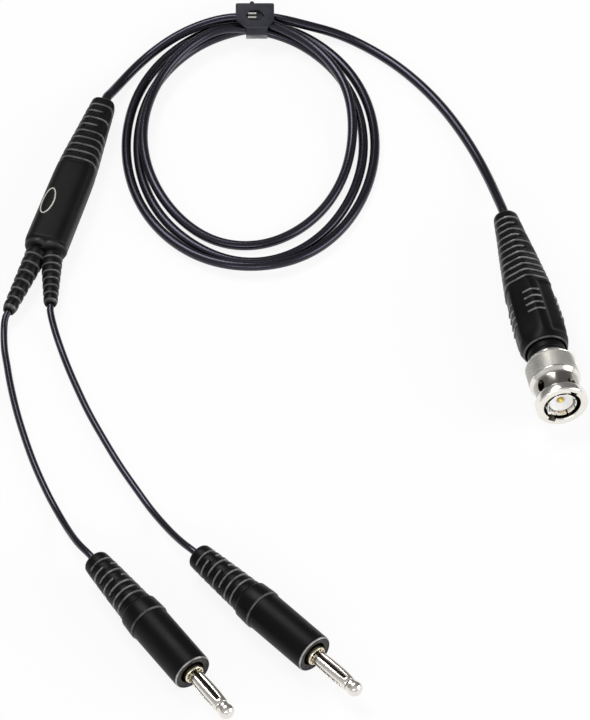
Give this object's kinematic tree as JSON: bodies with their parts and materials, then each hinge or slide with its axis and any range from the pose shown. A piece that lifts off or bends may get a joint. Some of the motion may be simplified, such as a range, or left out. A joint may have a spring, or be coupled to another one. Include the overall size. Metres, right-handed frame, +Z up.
{
  "type": "coaxial test lead",
  "caption": "Black coaxial test lead with a bayonet plug on one end and a moulded splitter to two banana plugs on the other, its cable coiled and held by a strap.",
  "frame": {"origin": "on the table, under the middle of the box round the plugs and the splitter; the cords and the strap are left out", "axes": "+Z up from the table, +Y from the banana plugs towards the coil's strap, +X towards the bayonet plug"},
  "size_m": [0.1559, 0.2452, 0.0146],
  "materials": {
    "boot_plastic": "satin",
    "cable_jacket": "glossy",
    "strap_rubber": "matte",
    "nickel": "polished",
    "spring_nickel": "polished",
    "gold": "polished",
    "ptfe": "satin",
    "tinned_copper": "satin",
    "seal_rubber": "matte",
    "inner_plastic": "satin"
  },
  "bodies": {
    "lead": {"bnc_boot": "boot_plastic", "splitter_overmould": "boot_plastic", "banana_left_boot": "boot_plastic", "banana_right_boot": "boot_plastic", "banana_left_barrel": "boot_plastic", "banana_right_barrel": "boot_plastic", "bnc_body": "nickel", "bnc_outer_contact": "nickel", "banana_left_pin": "nickel", "banana_right_pin": "nickel", "bnc_wave_washer": "spring_nickel", "bnc_retaining_clip": "spring_nickel", "bnc_center_pin": "gold", "bnc_insulator": "ptfe", "bnc_cable_core": "ptfe", "bnc_crimp_ferrule": "tinned_copper", "splitter_core_splice": "tinned_copper", "splitter_screen_splice": "tinned_copper", "banana_left_crimp": "tinned_copper", "banana_right_crimp": "tinned_copper", "bnc_gasket": "seal_rubber", "splitter_carrier": "inner_plastic", "banana_left_insert": "inner_plastic", "banana_right_insert": "inner_plastic", "bnc_cable_jacket": "cable_jacket", "coax_lead_bnc": "cable_jacket", "coax_coil": "cable_jacket", "coax_lead_splitter": "cable_jacket", "splitter_cable_jacket": "cable_jacket", "splitter_wire_left": "cable_jacket", "splitter_wire_right": "cable_jacket", "lead_left": "cable_jacket", "lead_right": "cable_jacket", "banana_left_wire": "cable_jacket", "banana_right_wire": "cable_jacket", "tie_strap": "strap_rubber"},
    "thrust_washer": {"bnc_thrust_washer": "nickel"},
    "coupling_nut": {"bnc_coupling_nut": "nickel"},
    "left_lantern": {"banana_left_lantern": "spring_nickel"},
    "right_lantern": {"banana_right_lantern": "spring_nickel"}
  },
  "joints": [
    {"name": "nut_push", "type": "slide", "parent": "lead", "child": "thrust_washer", "axis": [0.2088, -0.9773, 0.0349], "range_m": [0, 0.0006], "stiffness_N_per_m": 400},
    {"name": "nut_turn", "type": "hinge", "parent": "thrust_washer", "child": "coupling_nut", "pos_m": [0.06923, 0.00439, 0.00726], "axis": [0.2088, -0.9773, 0.0349], "continuous": true},
    {"name": "left_lantern_turn", "type": "hinge", "parent": "lead", "child": "left_lantern", "pos_m": [-0.02227, -0.09757, 0.00534], "axis": [0.5693, -0.8221, -0.0098], "continuous": true},
    {"name": "right_lantern_turn", "type": "hinge", "parent": "lead", "child": "right_lantern", "pos_m": [0.01027, -0.09101, 0.0056], "axis": [0.6743, -0.7385, 0], "continuous": true}
  ]
}
